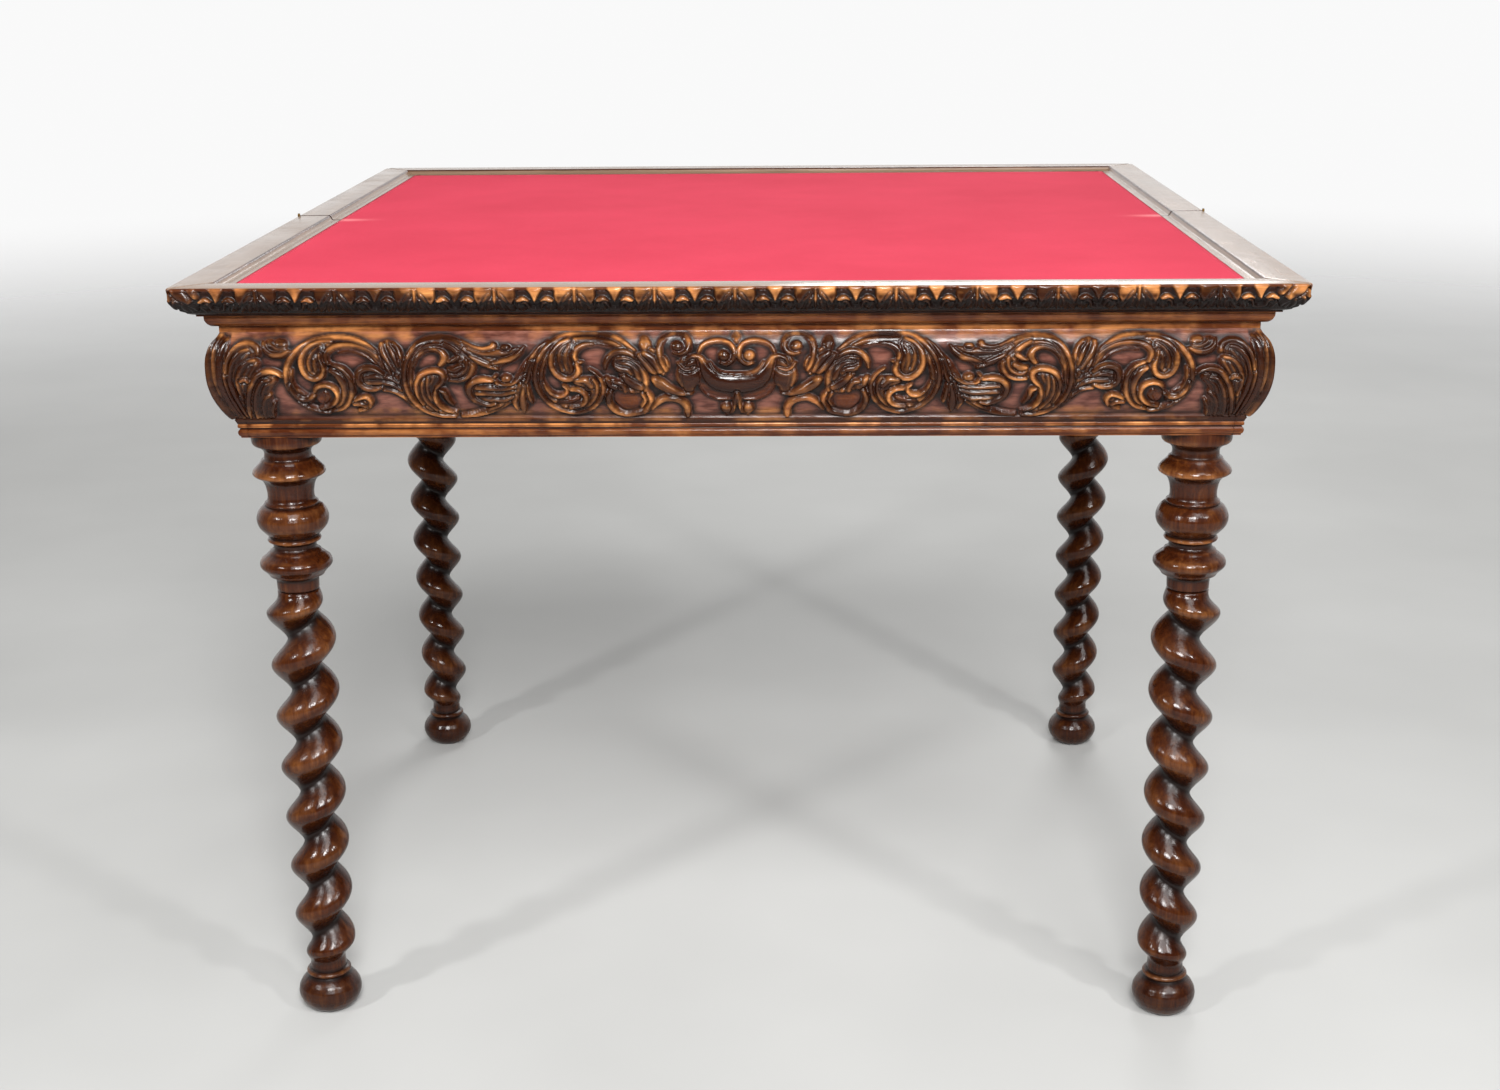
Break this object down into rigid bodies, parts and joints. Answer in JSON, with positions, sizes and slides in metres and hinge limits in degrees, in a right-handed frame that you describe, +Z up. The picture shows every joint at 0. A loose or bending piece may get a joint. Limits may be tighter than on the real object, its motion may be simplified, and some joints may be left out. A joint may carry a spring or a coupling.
{
  "type": "flip-top games table",
  "caption": "Flip-top games table in carved oak with a felt-lined folding top, barley-twist legs and a draw-out rear frame that carries the opened leaf.",
  "frame": {"origin": "on the floor under the middle of the open top, below the joint line of the two leaves", "axes": "+Z up, the carved front faces -Y, +X to the right of someone who faces the front"},
  "size_m": [1, 1, 0.7463],
  "materials": {
    "carved_oak": "stained and varnished oak, worn golden on the high edges of the carving",
    "inner_oak": "bare planed oak, darkened with age",
    "felt": "red wool baize",
    "brass": "tarnished brass",
    "steel": "dull screw steel"
  },
  "bodies": {
    "frame": {"back_rail": "inner_oak", "front_apron": "carved_oak", "front_base_moulding": "carved_oak", "front_bed_moulding": "carved_oak", "front_leaf_felt": "felt", "front_leaf_front_rail": "carved_oak", "front_leaf_panel": "carved_oak", "front_leaf_side_rail_left": "carved_oak", "front_leaf_side_rail_right": "carved_oak", "front_leg_block_left": "inner_oak", "front_leg_block_right": "inner_oak", "front_leg_left": "carved_oak", "front_leg_right": "carved_oak", "glue_block_front_left": "inner_oak", "glue_block_front_right": "inner_oak", "glue_block_side_left": "inner_oak", "glue_block_side_right": "inner_oak", "guide_screw_left_1": "steel", "guide_screw_left_2": "steel", "guide_screw_right_1": "steel", "guide_screw_right_2": "steel", "hinge_fixed_half_left": "brass", "hinge_fixed_half_right": "brass", "hinge_fixed_screw_left_1": "brass", "hinge_fixed_screw_left_2": "brass", "hinge_fixed_screw_right_1": "brass", "hinge_fixed_screw_right_2": "brass", "hinge_pin_left": "brass", "hinge_pin_right": "brass", "runner_guide_left": "inner_oak", "runner_guide_right": "inner_oak", "side_apron_left": "carved_oak", "side_apron_right": "carved_oak", "side_base_moulding_left": "carved_oak", "side_base_moulding_right": "carved_oak", "side_bed_moulding_left": "carved_oak", "side_bed_moulding_right": "carved_oak"},
    "flip_leaf": {"flip_leaf_back_rail": "carved_oak", "flip_leaf_felt": "felt", "flip_leaf_panel": "carved_oak", "flip_leaf_side_rail_left": "carved_oak", "flip_leaf_side_rail_right": "carved_oak", "hinge_moving_half_left": "brass", "hinge_moving_half_right": "brass", "hinge_moving_screw_left_1": "brass", "hinge_moving_screw_left_2": "brass", "hinge_moving_screw_right_1": "brass", "hinge_moving_screw_right_2": "brass"},
    "rear_frame": {"rear_apron": "carved_oak", "rear_leg_block_left": "inner_oak", "rear_leg_block_right": "inner_oak", "rear_leg_left": "carved_oak", "rear_leg_right": "carved_oak", "runner_left": "inner_oak", "runner_right": "inner_oak", "stop_peg_left": "inner_oak", "stop_peg_right": "inner_oak"}
  },
  "joints": [
    {"name": "leaf_hinge", "type": "hinge", "parent": "frame", "child": "flip_leaf", "pos_m": [0, 0, 0.7443], "axis": [1, 0, 0], "range_deg": [0, 180]},
    {"name": "rear_frame_slide", "type": "slide", "parent": "frame", "child": "rear_frame", "axis": [0, -1, 0], "range_m": [0, 0.335]}
  ]
}
